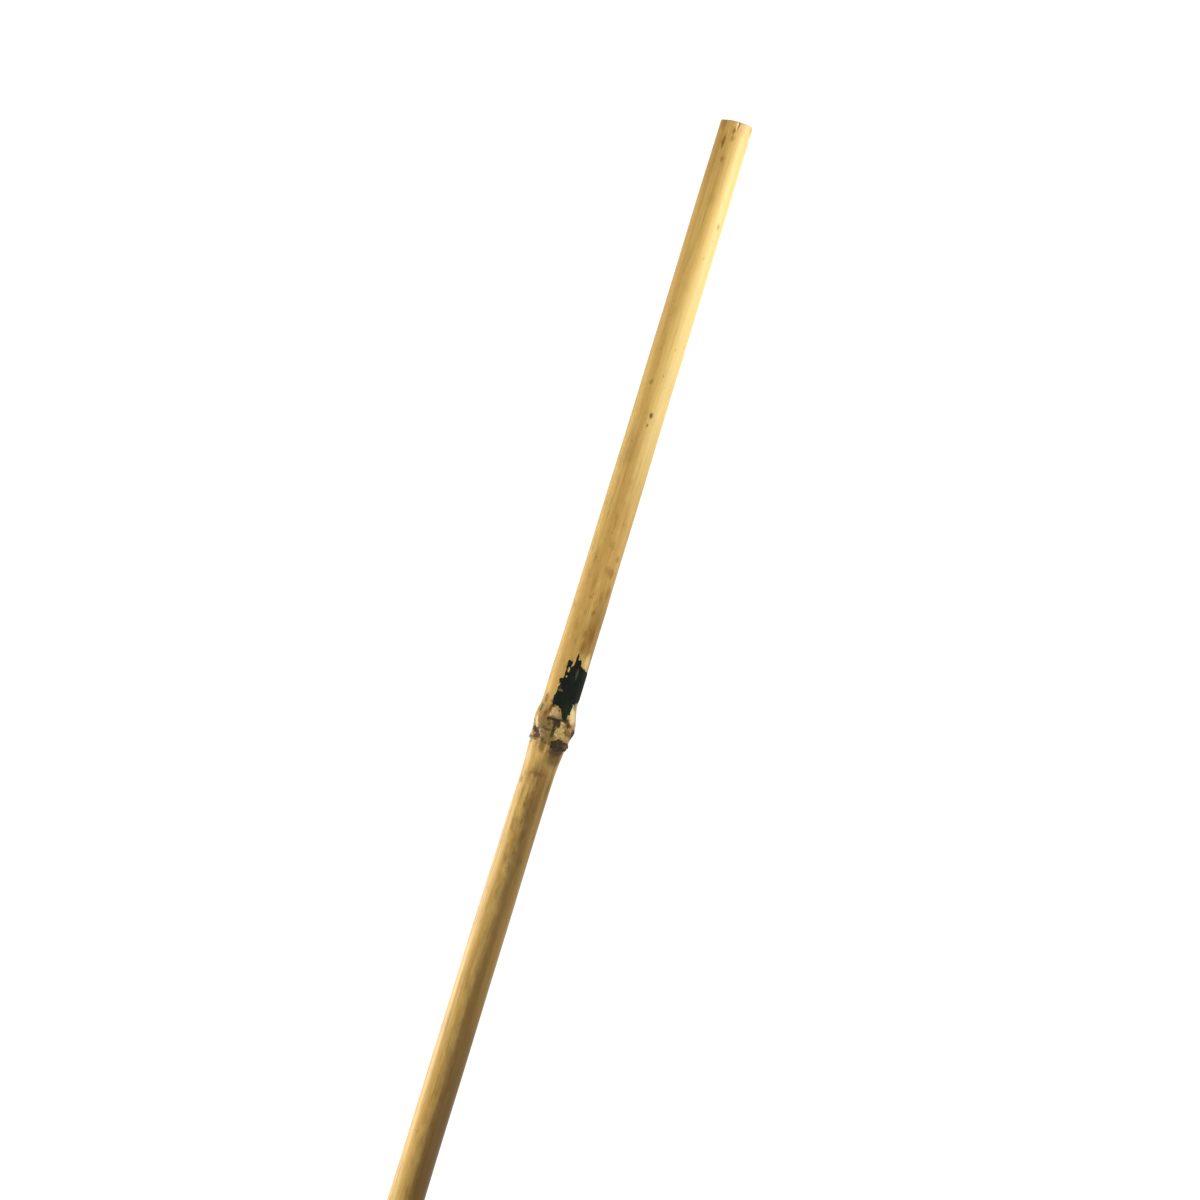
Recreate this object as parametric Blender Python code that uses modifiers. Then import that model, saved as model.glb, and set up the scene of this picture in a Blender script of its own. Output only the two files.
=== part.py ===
"""Devil stick: a straight bamboo cane with one node at mid-length, sawn square at both ends.

Metres, +Z up. The cane stands on its lower cut end with the origin at the centre of that face,
and the side that carries the branch scar faces -Y. Heights named ABOVE_NODE are measured from
the sheath scar, the thin ring that the culm sheath left below the swollen node. Pieces that
touch in the real cane are kept GAP apart.
"""

import math

import bmesh
import bpy
from mathutils import Matrix, Vector

MM = 0.001
GAP = 0.3 * MM

# The cane as a whole
LENGTH = 622 * MM
CANE_RADIUS = 8.0 * MM
NODE_HEIGHT = LENGTH / 2
WALL = 3.0 * MM
BORE_RADIUS = CANE_RADIUS - WALL
END_CHAMFER = 0.4 * MM

# How the outer radius changes along the cane
BUTT_EXTRA = 1.2 * MM
ABOVE_NODE_EXTRA = 0.6 * MM
TOP_EXTRA = -0.1 * MM
TAPER_EXPONENT = 0.6
RIDGE_ABOVE_NODE = 11.6 * MM
RIDGE_SWELL = 1.9 * MM
RIDGE_REACH = 5.5 * MM
SCAR_SWELL = 0.9 * MM
SCAR_REACH = 8.5 * MM

# Where one grown part of the cane gives way to the next
COLLAR_ABOVE_NODE = 3.3 * MM
RIDGE_TOP_ABOVE_NODE = 21.0 * MM
RIDGE_BORE_RADIUS = BORE_RADIUS - 0.6 * MM
DIAPHRAGM_ABOVE_NODE = 7.0 * MM
DIAPHRAGM_THICKNESS = 1.8 * MM
DIAPHRAGM_DISH = 1.2 * MM

# The ring that the sheath left, a little higher on the left than on the right
SCAR_HEIGHT = 1.3 * MM
SCAR_THICKNESS = 0.55 * MM
SCAR_TILT = math.radians(5.5)

# The shallow channel that the branch pressed into the internode above its node: the inner
# edge of a long ellipsoid that stands mostly outside the cane
GROOVE_TURN = math.radians(24)
GROOVE_ABOVE_NODE = 50.0 * MM
GROOVE_DEPTH = 1.1 * MM
GROOVE_HALF_SIZE = Vector((5.0, 4.0, 54.0)) * MM

# Trimmed branch bases: turn about the cane, height above the node, radius, how far each
# stands out of the wood, and its upward lean
MAIN_STUB = dict(
    turn=math.radians(26), above=8.0 * MM, radius=2.9 * MM, length=1.5 * MM, lean=math.radians(30)
)
SIDE_STUB = dict(
    turn=math.radians(-25), above=6.0 * MM, radius=1.5 * MM, length=0.9 * MM, lean=math.radians(18)
)
STUB_TAPER = 0.82
STUB_ROOT_DEPTH = 2.4 * MM
STUB_BEVEL = 0.5 * MM
STUB_BEVEL_STEPS = 3

# The bud scale above the stubs, a low mound with its point upwards
BUD_TURN = math.radians(-3)
BUD_ABOVE_NODE = 15.6 * MM
BUD_HALF_SIZE = Vector((3.3, 1.9, 3.4)) * MM

# Thin films: the scrap of old sheath over the collar and the dark paint in the groove
FLAKE_THICKNESS = 0.45 * MM
PAINT_THICKNESS = 0.25 * MM
PAINT_WRAP = 4.0 * MM

# Outlines seen from the front, in millimetres across (+X) and above the node
FLAKE_OUTLINE = [
    (0.6, 1.5), (1.6, 2.7), (4.4, 2.9), (7.2, 2.2), (11.0, 1.6),
    (11.0, 0.4), (7.4, 0.3), (4.4, 0.5), (1.8, 0.8),
]
PAINT_OUTLINE = [
    (2.3, 45.0), (3.0, 42.6), (4.5, 43.3), (5.6, 39.0), (8.2, 38.4), (12.0, 36.0),
    (12.0, 27.0), (7.7, 25.0), (6.2, 22.0), (6.4, 18.0), (5.4, 13.2), (3.4, 14.4),
    (2.2, 17.0), (0.4, 19.6), (-1.4, 20.2), (-3.9, 19.4), (-3.8, 23.0), (-2.9, 28.4),
    (-3.4, 30.6), (-2.0, 33.8), (-2.2, 36.6), (-1.4, 40.6), (0.2, 38.8), (1.4, 40.8),
]

# Fineness of the meshes
AROUND = 48
LONG_STEPS = 14
NODE_STEPS = 12
FILM_STEPS = 16
BALL_SEGMENTS = 32
AXIS_MERGE = 0.05 * MM
WELD = 0.001 * MM

# How far cutters and guides run past what they cut
CUTTER_REACH = 14.0 * MM
OUTER_CORE_RADIUS = 2.0 * MM
INNER_CORE_RADIUS = 1.0 * MM
FILM_MARGIN = 3.0 * MM

# Colour (linear), roughness of each sub-part's material
FINISHES = {
    "lower_internode": ((0.52, 0.34, 0.13), 0.42),
    "upper_internode": ((0.64, 0.45, 0.19), 0.42),
    "nodal_ridge": ((0.55, 0.37, 0.16), 0.55),
    "node_diaphragm": ((0.66, 0.52, 0.30), 0.75),
    "sheath_scar": ((0.60, 0.45, 0.28), 0.70),
    "main_branch_stub": ((0.72, 0.56, 0.30), 0.80),
    "side_branch_stub": ((0.45, 0.32, 0.22), 0.80),
    "bud_scale": ((0.60, 0.42, 0.24), 0.75),
    "sheath_remnant": ((0.035, 0.022, 0.020), 0.70),
    "paint_patch": ((0.008, 0.014, 0.010), 0.50),
}


def clear_scene():
    for obj in list(bpy.data.objects):
        bpy.data.objects.remove(obj, do_unlink=True)


def new_collection(name, hidden=False):
    collection = bpy.data.collections.new(name)
    collection.hide_render = hidden
    bpy.context.scene.collection.children.link(collection)
    return collection


def finish_of(name):
    """The Principled material of a sub-part."""
    colour, roughness = FINISHES[name]
    material = bpy.data.materials.new(name)
    material.use_nodes = True
    shader = material.node_tree.nodes["Principled BSDF"]
    shader.inputs["Base Color"].default_value = (*colour, 1.0)
    shader.inputs["Roughness"].default_value = roughness
    shader.inputs["Metallic"].default_value = 0.0
    material.diffuse_color = (*colour, 1.0)
    return material


def add_object(name, mesh, collection):
    obj = bpy.data.objects.new(name, mesh)
    collection.objects.link(obj)
    if name in FINISHES:
        mesh.materials.append(finish_of(name))
    else:
        obj.hide_render = True
        obj.display_type = "WIRE"
    return obj


def outer_radius(height):
    """Outer radius of the cane at this height: gentle taper, swollen node, lip at the sheath scar."""
    above = height - NODE_HEIGHT
    if above < 0:
        share = (height / NODE_HEIGHT) ** TAPER_EXPONENT
        taper = BUTT_EXTRA * (1 - share)
    else:
        share = (above / (LENGTH - NODE_HEIGHT)) ** TAPER_EXPONENT
        taper = ABOVE_NODE_EXTRA + (TOP_EXTRA - ABOVE_NODE_EXTRA) * share
    ridge = RIDGE_SWELL * math.exp(-(((above - RIDGE_ABOVE_NODE) / RIDGE_REACH) ** 2))
    lip = SCAR_SWELL * math.exp(-((above / SCAR_REACH) ** 2))
    return CANE_RADIUS + taper + ridge + lip


def heights_between(low, high, steps):
    return [low + (high - low) * i / steps for i in range(steps + 1)]


def turned(name, section, collection):
    """A ring turned about +Z from a closed section whose outer side runs from top to bottom."""
    mesh = bpy.data.meshes.new(name)
    edges = [(i, (i + 1) % len(section)) for i in range(len(section))]
    mesh.from_pydata([(radius, 0.0, height) for radius, height in section], edges, [])
    obj = add_object(name, mesh, collection)
    screw = obj.modifiers.new("turn", "SCREW")
    screw.axis = "Z"
    screw.steps = AROUND
    screw.render_steps = AROUND
    screw.use_merge_vertices = True
    screw.merge_threshold = AXIS_MERGE
    screw.use_smooth_shade = True
    return obj


def wall_section(heights, bore, extra=0.0):
    """Closed section of the cane's wall between the first and last of these rising heights."""
    outer = [(outer_radius(h) + extra, h) for h in reversed(heights)]
    inner = [(bore, heights[0]), (bore, heights[-1])]
    return outer + inner


def chamfered(section, height, chamfer):
    """The section with its outer corner at this height cut back by the chamfer."""
    result = []
    for radius, at in section:
        if at == height and radius > CANE_RADIUS - WALL / 2:
            inward = (radius - chamfer, at)
            down = (radius, at - math.copysign(chamfer, height - NODE_HEIGHT))
            result += [inward, down] if height > NODE_HEIGHT else [down, inward]
        else:
            result.append((radius, at))
    return result


def boolean(obj, cutter, operation="DIFFERENCE"):
    modifier = obj.modifiers.new(f"{operation.lower()} {cutter.name}", "BOOLEAN")
    modifier.operation = operation
    modifier.solver = "EXACT"
    modifier.object = cutter


def out_from_cane(turn, radius, height):
    """A point at this turn from the front (-Y), positive towards +X."""
    return Vector((radius * math.sin(turn), -radius * math.cos(turn), height))


def ball(name, centre, half_size, turn, collection):
    """An ellipsoid whose own Y axis points away from the cane."""
    mesh = bpy.data.meshes.new(name)
    shape = bmesh.new()
    bmesh.ops.create_uvsphere(shape, u_segments=BALL_SEGMENTS, v_segments=BALL_SEGMENTS // 2, radius=1.0)
    bmesh.ops.transform(shape, matrix=Matrix.Diagonal((*half_size, 1.0)), verts=shape.verts)
    for face in shape.faces:
        face.smooth = True
    shape.to_mesh(mesh)
    shape.free()
    obj = add_object(name, mesh, collection)
    obj.location = centre
    obj.rotation_euler = (0.0, 0.0, turn)
    return obj


def groove_cutter(name, inset, collection):
    """The channel above the node, its wall moved inwards by inset."""
    height = NODE_HEIGHT + GROOVE_ABOVE_NODE
    centre_radius = outer_radius(height) + GROOVE_HALF_SIZE.y - GROOVE_DEPTH
    centre = out_from_cane(GROOVE_TURN, centre_radius, height)
    half_size = GROOVE_HALF_SIZE - Vector((inset,) * 3)
    return ball(name, centre, half_size, GROOVE_TURN, collection)


def stub(name, shape, extra, collection):
    """A short tapered stump that leans upwards out of the wall, extra thicker all round."""
    radius = shape["radius"] + extra
    length = shape["length"] + STUB_ROOT_DEPTH
    mesh = bpy.data.meshes.new(name)
    cone = bmesh.new()
    bmesh.ops.create_cone(
        cone,
        cap_ends=True,
        segments=AROUND // 2,
        radius1=radius,
        radius2=radius * STUB_TAPER,
        depth=length + 2 * extra,
    )
    cone.to_mesh(mesh)
    cone.free()
    obj = add_object(name, mesh, collection)
    height = NODE_HEIGHT + shape["above"]
    outward = out_from_cane(shape["turn"], 1.0, 0.0)
    direction = outward * math.cos(shape["lean"]) + Vector((0, 0, math.sin(shape["lean"])))
    skin = out_from_cane(shape["turn"], outer_radius(height), height)
    obj.location = skin + direction * (shape["length"] - STUB_ROOT_DEPTH) / 2
    obj.rotation_mode = "QUATERNION"
    obj.rotation_quaternion = direction.to_track_quat("Z", "Y")
    return obj


def round_edges(obj, width):
    bevel = obj.modifiers.new("soft edges", "BEVEL")
    bevel.width = width
    bevel.segments = STUB_BEVEL_STEPS
    bevel.limit_method = "ANGLE"


def prism(name, outline, wrap, collection):
    """A flat outline seen from the front, carried from in front of the cane to wrap behind its axis."""
    curve = bpy.data.curves.new(name, "CURVE")
    curve.dimensions = "2D"
    curve.fill_mode = "BOTH"
    depth = CUTTER_REACH + wrap
    curve.extrude = depth / 2
    spline = curve.splines.new("POLY")
    spline.points.add(len(outline) - 1)
    for point, (across, above) in zip(spline.points, outline):
        point.co = (across * MM, above * MM, 0.0, 1.0)
    spline.use_cyclic_u = True
    flat = bpy.data.objects.new(name, curve)
    collection.objects.link(flat)
    flat.location = (0.0, wrap - depth / 2, NODE_HEIGHT)
    flat.rotation_euler = (math.pi / 2, 0.0, 0.0)
    bpy.context.view_layer.update()
    mesh = bpy.data.meshes.new_from_object(flat.evaluated_get(bpy.context.evaluated_depsgraph_get()))
    place = flat.matrix_world.copy()
    bpy.data.objects.remove(flat, do_unlink=True)
    shape = bmesh.new()
    shape.from_mesh(mesh)
    bmesh.ops.remove_doubles(shape, verts=shape.verts, dist=WELD)
    bmesh.ops.recalc_face_normals(shape, faces=shape.faces)
    shape.to_mesh(mesh)
    shape.free()
    obj = add_object(name, mesh, collection)
    obj.matrix_world = place
    return obj


def grown_cane(name, outline, core, extra, collection):
    """The stretch of cane behind an outline, extra thicker all round."""
    margin = FILM_MARGIN - core
    low = NODE_HEIGHT + min(above for _, above in outline) * MM - margin
    high = NODE_HEIGHT + max(above for _, above in outline) * MM + margin
    section = wall_section(heights_between(low, high, FILM_STEPS), core, extra)
    return turned(name, section, collection)


def film(name, outline, thickness, wrap, grooved, parts, cutters):
    """A thin piece that follows the cane's surface, or its groove, inside an outline."""
    inside = grown_cane(f"{name}_inside", outline, INNER_CORE_RADIUS, GAP, cutters)
    obj = grown_cane(name, outline, OUTER_CORE_RADIUS, GAP + thickness, parts)
    if grooved:
        boolean(inside, groove_cutter(f"{name}_groove_inside", GAP, cutters))
        boolean(obj, groove_cutter(f"{name}_groove", GAP + thickness, cutters))
    boolean(obj, prism(f"{name}_outline", outline, wrap, cutters), "INTERSECT")
    boolean(obj, inside)
    return obj


def build_lower_internode(parts):
    """The hollow lower half, whose neck passes inside the sheath scar up to the ridge."""
    heights = heights_between(0.0, NODE_HEIGHT - 2 * SCAR_REACH, LONG_STEPS)
    heights += heights_between(heights[-1], NODE_HEIGHT + COLLAR_ABOVE_NODE, NODE_STEPS)[1:]
    section = chamfered(wall_section(heights, BORE_RADIUS), 0.0, END_CHAMFER)
    return turned("lower_internode", section, parts)


def build_nodal_ridge(parts, cutters):
    """The swollen wooden ring of the node, with a socket for each branch base and the bud."""
    low = NODE_HEIGHT + COLLAR_ABOVE_NODE + GAP
    high = NODE_HEIGHT + RIDGE_TOP_ABOVE_NODE
    section = wall_section(heights_between(low, high, NODE_STEPS), RIDGE_BORE_RADIUS)
    ridge = turned("nodal_ridge", section, parts)
    for cutter in cutters:
        boolean(ridge, cutter)
    return ridge


def build_upper_internode(parts, groove):
    """The hollow upper half, with the branch groove pressed into its front."""
    low = NODE_HEIGHT + RIDGE_TOP_ABOVE_NODE + GAP
    section = wall_section(heights_between(low, LENGTH, LONG_STEPS), BORE_RADIUS)
    internode = turned("upper_internode", chamfered(section, LENGTH, END_CHAMFER), parts)
    boolean(internode, groove)
    return internode


def build_diaphragm(parts):
    """The woody plate that closes the bore at the node, dished downwards."""
    radius = RIDGE_BORE_RADIUS - GAP
    middle = NODE_HEIGHT + DIAPHRAGM_ABOVE_NODE
    mesh = bpy.data.meshes.new("node_diaphragm")
    plate = bmesh.new()
    bmesh.ops.create_cone(
        plate,
        cap_ends=True,
        segments=AROUND,
        radius1=radius,
        radius2=radius,
        depth=DIAPHRAGM_THICKNESS,
    )
    for cap in [face for face in plate.faces if len(face.verts) == AROUND]:
        centre = bmesh.ops.poke(plate, faces=[cap])["verts"][0]
        centre.co.z -= DIAPHRAGM_DISH
    plate.to_mesh(mesh)
    plate.free()
    obj = add_object("node_diaphragm", mesh, parts)
    obj.location = (0.0, 0.0, middle)
    return obj


def build_sheath_scar(parts):
    """The thin ring left by the fallen sheath, tilted about the cane's neck."""
    inner = outer_radius(NODE_HEIGHT) + GAP
    outer = inner + SCAR_THICKNESS
    half = SCAR_HEIGHT / 2
    lip = SCAR_THICKNESS / 2
    section = [(inner + lip, half), (outer, half - lip), (outer, lip - half), (inner + lip, -half)]
    section += [(inner, -half), (inner, half)]
    ring = turned("sheath_scar", section, parts)
    ring.location = (0.0, 0.0, NODE_HEIGHT)
    ring.rotation_euler = (0.0, SCAR_TILT, 0.0)
    return ring


def build_stub(name, shape, parts):
    obj = stub(name, shape, 0.0, parts)
    round_edges(obj, STUB_BEVEL)
    return obj


def build_bud(name, extra, collection):
    """The bud scale, or its socket in the ridge, extra thicker all round."""
    height = NODE_HEIGHT + BUD_ABOVE_NODE
    centre = out_from_cane(BUD_TURN, outer_radius(height), height)
    return ball(name, centre, BUD_HALF_SIZE + Vector((extra,) * 3), BUD_TURN, collection)


def main():
    clear_scene()
    parts = new_collection("devil_stick")
    cutters = new_collection("cutters", hidden=True)

    groove = groove_cutter("groove", 0.0, cutters)
    bud_socket = build_bud("bud_socket", GAP, cutters)
    main_socket = stub("main_stub_socket", MAIN_STUB, GAP, cutters)
    side_socket = stub("side_stub_socket", SIDE_STUB, GAP, cutters)

    build_lower_internode(parts)
    build_nodal_ridge(parts, [groove, bud_socket, main_socket, side_socket])
    build_upper_internode(parts, groove)
    build_diaphragm(parts)
    build_sheath_scar(parts)
    build_stub("main_branch_stub", MAIN_STUB, parts)
    build_stub("side_branch_stub", SIDE_STUB, parts)
    build_bud("bud_scale", 0.0, parts)

    film("sheath_remnant", FLAKE_OUTLINE, FLAKE_THICKNESS, 0.0, False, parts, cutters)
    paint = film("paint_patch", PAINT_OUTLINE, PAINT_THICKNESS, PAINT_WRAP, True, parts, cutters)
    boolean(paint, bud_socket)


main()
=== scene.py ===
"""Looks of a devil stick: a bamboo cane with one node, sawn square at both ends.

The cane stands on its lower end, metres, +Z up, with its branch scar towards -Y. A place on it
is a turn, measured from the front and positive towards +X, and a height. Heights called "above"
are millimetres above the sheath scar, the thin ring just below the swollen node. Shapes on the
cane are worked out in millimetres and become metres when their mesh is made.
"""

import math

import bmesh
import bpy
import numpy as np
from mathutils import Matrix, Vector, noise

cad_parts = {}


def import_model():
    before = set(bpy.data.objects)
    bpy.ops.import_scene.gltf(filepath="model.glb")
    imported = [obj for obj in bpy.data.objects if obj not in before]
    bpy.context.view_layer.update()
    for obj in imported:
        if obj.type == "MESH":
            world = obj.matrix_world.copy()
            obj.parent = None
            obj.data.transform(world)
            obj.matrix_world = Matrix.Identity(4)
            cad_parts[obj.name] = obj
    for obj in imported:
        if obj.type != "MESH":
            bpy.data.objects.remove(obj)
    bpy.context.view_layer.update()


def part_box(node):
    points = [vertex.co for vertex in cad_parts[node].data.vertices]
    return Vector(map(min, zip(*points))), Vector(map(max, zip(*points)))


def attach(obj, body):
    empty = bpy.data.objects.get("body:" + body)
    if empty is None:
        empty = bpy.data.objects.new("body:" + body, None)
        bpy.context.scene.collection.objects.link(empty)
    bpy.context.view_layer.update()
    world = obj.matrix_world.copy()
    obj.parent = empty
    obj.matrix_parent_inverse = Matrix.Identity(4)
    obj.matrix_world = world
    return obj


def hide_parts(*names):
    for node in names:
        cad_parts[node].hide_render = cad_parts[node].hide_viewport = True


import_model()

MM = 0.001

# Heights that come from the CAD, in millimetres
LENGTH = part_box("upper_internode")[1].z / MM
NODE = LENGTH / 2
COLLAR_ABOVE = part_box("nodal_ridge")[0].z / MM - NODE
RIDGE_TOP_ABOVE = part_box("nodal_ridge")[1].z / MM - NODE

# The cane's outer radius in millimetres: the CAD's, with the ridge a little slighter
CANE_RADIUS = 8.0
BORE_RADIUS = 5.0
NODE_BORE_RADIUS = 4.4
BUTT_EXTRA = 1.2
ABOVE_NODE_EXTRA = 0.6
TOP_EXTRA = -0.1
TAPER_EXPONENT = 0.6
RIDGE_ABOVE, RIDGE_SWELL, RIDGE_REACH = 11.6, 1.5, 5.5
LIP_SWELL, LIP_REACH = 0.9, 8.5
ARC_RADIUS = 8.8  # turns this radius into distances round the cane

# The slight natural bow of the lower half, and the small jog of the node, both sideways
BUTT_SHIFT, BOW_QUICKNESS = -1.1, 0.25
NODE_SHIFT, NODE_SHIFT_REACH = 0.3, 9.0
NODE_MIDDLE_ABOVE = 8.0

# Fine relief of the wood: its grain everywhere, and coarse and fine lumps about the node
GRAIN_RELIEF = 0.035
COARSE_RELIEF, FINE_RELIEF, RELIEF_REACH = 0.28, 0.14, 9.0

# The channel that the branch pressed into the internode above the node
GROOVE_TURN, GROOVE_ABOVE, GROOVE_DEPTH = 24.0, 50.0, 0.9
GROOVE_HALF_WIDTH, GROOVE_HALF_LENGTH = 3.8, 38.0

# Hollows and swellings of the wood: turn in degrees, then millimetres above the scar, half
# width round the cane, half height, and rise
RELIEF = [
    (-9, 9.0, 3.1, 3.4, -1.5),
    (8, 12.6, 4.2, 0.9, -0.8),
    (-53, 4.6, 1.6, 1.2, -0.8),
    (-54, 8.6, 1.0, 2.4, 0.3),
    (-19, 12.0, 1.0, 0.9, -0.5),
    (44, 10.9, 1.4, 1.3, -0.6),
    (59, 7.4, 0.6, 2.2, 0.25),
    (82, 7.4, 1.5, 3.0, 0.8),
    (-84, 30.0, 3.0, 14.0, 0.35),
    (46, 17.0, 1.6, 4.0, 0.35),
    (-64, 15.4, 1.5, 1.3, -0.55),
    (-58, 20.6, 1.3, 1.6, -0.45),
    (-30, 16.0, 1.0, 3.0, -0.45),
    (150, 9.0, 4.0, 3.0, 0.3),
    (-140, 12.0, 3.0, 2.2, -0.35),
    (14, -5.0, 2.0, 4.0, -0.15),
]

# The ring that the sheath left
SCAR_TILT = math.tan(math.radians(5.5))
SCAR_ABOVE = 0.2
SCAR_THICKNESS, SCAR_HALF_HEIGHT = 0.42, 0.75
SCAR_STEPS = 12

# The sawn ends, each more worn about one turn (in degrees), and the short crack at the top one
END_ROUNDING = 0.45
SAW_ROUGHNESS = 0.07
WORN_TURN, WORN_HALF_WIDTH, WORN_EXTRA, WORN_DIP = -62, 32, 0.9, 0.35
FISSURE_TURN, FISSURE_LENGTH, FISSURE_DEPTH, FISSURE_HALF_WIDTH = 8.0, 4.8, 1.0, 0.34
FISSURE_END_DROP, FISSURE_END_HALF_WIDTH = 0.8, 0.3

# Fineness of the meshes
AROUND = 192
LONG_ROW, FINE_ROW = 1.6, 0.22
FINE_REACH = 14.0
FILM_CELL = 0.2
MOUND_CELL = 0.12
SHARP_ANGLE = 55  # degrees

# How far a mound reaches down into the wood, and the plate that closes the bore
MOUND_ROOT = 0.9
DIAPHRAGM_CAD_THICKNESS, DIAPHRAGM_THICKNESS = 1.8, 1.6
DIAPHRAGM_STEPS = 10

# Dark paint: (turn in degrees, above) round its outline, then the bare spots inside it as
# turn, above, half width and half height
PAINT_OUTLINE = [
    (15, 45.0), (19, 42.6), (28, 43.0), (36, 40.0), (56, 38.6), (84, 37.4), (106, 33.0),
    (99, 29.2), (110, 26.0), (90, 23.8), (72, 22.4), (46, 21.2), (41, 18.0), (31, 12.8),
    (19, 13.4), (12, 15.2), (4, 17.3),
    (-3, 18.6), (-12, 18.6), (-25, 18.4), (-25, 23.0), (-19, 28.4), (-22, 30.6), (-13, 33.8),
    (-15, 37.4), (-14, 40.4), (-8, 41.8), (0, 40.9), (3, 38.8), (9, 41.0),
]
PAINT_GAPS = [(-4, 36.8, 0.6, 1.3), (-5, 33.4, 0.4, 0.6)]
PAINT_THICKNESS = 0.16
PAINT_EDGE = 0.7
PAINT_LIFT, PAINT_ROOT = 0.04, 0.3

# The scrap of old sheath that still covers the ring on the right
FLAKE_OUTLINE = [
    (6, 0.6), (9, 2.0), (16, 2.6), (23, 3.1), (27, 3.9), (31, 3.0), (44, 2.7), (58, 2.5), (72, 2.2),
    (86, 1.2), (88, -0.8), (72, -1.7), (52, -2.0), (34, -2.3), (20, -2.0), (10, -1.5),
]
FLAKE_THICKNESS = 0.40
FLAKE_LIFT = 0.30

# Torn branch bases and the bud scale, each round its outline
MAIN_STUB_OUTLINE = [
    (10, 5.2), (9, 8.4), (16, 9.2), (18, 11.8), (24, 12.0), (28, 9.8), (36, 10.2), (46, 9.4),
    (57, 8.2), (60, 5.2), (50, 3.7), (34, 3.5), (22, 3.3), (14, 4.2),
]
SIDE_STUB_OUTLINE = [
    (-43, 5.4), (-38, 6.5), (-27, 6.5), (-19, 5.7), (-14, 3.6), (-20, 2.5), (-30, 2.4), (-36, 3.4),
]
BUD_OUTLINE = [
    (-22, 13.6), (-22, 15.9), (-17, 17.4), (-10, 18.4), (-3, 18.2), (4, 16.8), (11, 14.9),
    (17, 13.5), (12, 12.9), (0, 12.7), (-12, 13.0),
]

# Heights above the scar where each change of the skin's colour starts and where it is full.
# The mottling's are distances from its middle.
MOTTLE_MIDDLE, MOTTLE_FADE = 30.0, (140.0, 60.0)
# Painted light: between these heights the right side turns paler, as if lit.
LIT_SIDE_RISE = (95.0, 175.0)
# Painted shade, in the next three: the right side below the node darkened, where it starts, how it deepens
# and where its far right is spared.
SIDE_SHADING = (2.0, -20.0)
SIDE_SHADE_DEEPENING = (-60.0, -240.0)
SIDE_SHADE_SPARING = (-190.0, -90.0)
# Painted shade: where the darkening of the right side above the paint fades in and out.
UPPER_SHADE_TOP, UPPER_SHADE_BOTTOM = (86.0, 58.0), (40.0, 48.0)

# noise_vector, which warps the fibre bundles of the mounds, draws its offsets from this seed
NOISE_SEED = 1

# Surface colours are toned down by this, because the surround is brighter than white paper
TONE = 0.74
SURROUND_STRENGTH = 1.12
FLOOR_RADIUS = 8.0
FLOOR_DROP = 0.0005

# Camera: the picture's middle on the cane, the roll of the picture, and what its side spans
VIEW_CENTRE = Vector((0.0039, 0.0, 0.384))
VIEW_ROLL = math.radians(17.0)
VIEW_DISTANCE = 1.5
VIEW_SPAN = 0.5766
SENSOR = 36.0


def colour(red, green, blue):
    """Scene-linear surface colour that looks like this 8-bit sRGB one in the bright surround."""
    shares = [part / 255 for part in (red, green, blue)]
    linear = [s / 12.92 if s <= 0.04045 else ((s + 0.055) / 1.055) ** 2.4 for s in shares]
    return (*[part * TONE for part in linear], 1.0)


STRAW = colour(218, 180, 97)
TAN = colour(201, 157, 76)
BROWN = colour(140, 108, 50)
# Painted shade: the brown of the shaded right side below the node.
SIDE_SHADE_BROWN = colour(86, 58, 12)
FIBRE_BROWN = colour(150, 112, 50)
BLEACHED = colour(250, 222, 166)
PALE = colour(236, 208, 134)
SALLOW = colour(150, 126, 66)
OLIVE = colour(104, 88, 40)
DARK_OLIVE = colour(44, 42, 20)
DARK_BROWN = colour(74, 50, 28)
UMBER = colour(112, 78, 34)
RUST = colour(150, 92, 42)
EARTH = colour(84, 58, 22)
BRACKEN = colour(144, 98, 26)
DRAB = colour(136, 112, 62)
PURPLE_BLACK = colour(62, 45, 35)
CREAM = colour(222, 196, 132)
PINK_CREAM = colour(212, 172, 124)
GREY_PINK = colour(178, 150, 116)
GREY_OLIVE = colour(130, 124, 84)
GREEN_BLACK = colour(18, 26, 12)
GREEN_EDGE = colour(28, 46, 14)
PAINT_SHADE = colour(16, 18, 20)
PAINT_WORN = colour(84, 84, 66)
PITH = colour(226, 204, 156)
PITH_NEAR_SKIN = colour(186, 150, 92)
PITH_DULL = colour(170, 140, 92)
BORE_LIGHT = colour(214, 190, 140)
BORE_DARK = colour(160, 124, 74)
STUB_MIDDLE = colour(196, 170, 100)
SIDE_STUB_MIDDLE = colour(190, 164, 128)
BUD_MIDDLE = colour(206, 168, 106)
SHEATH_LIGHT = colour(60, 48, 32)
SHEATH_MIDDLE = colour(78, 62, 40)
SHEATH_DARK = colour(26, 22, 14)
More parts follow.
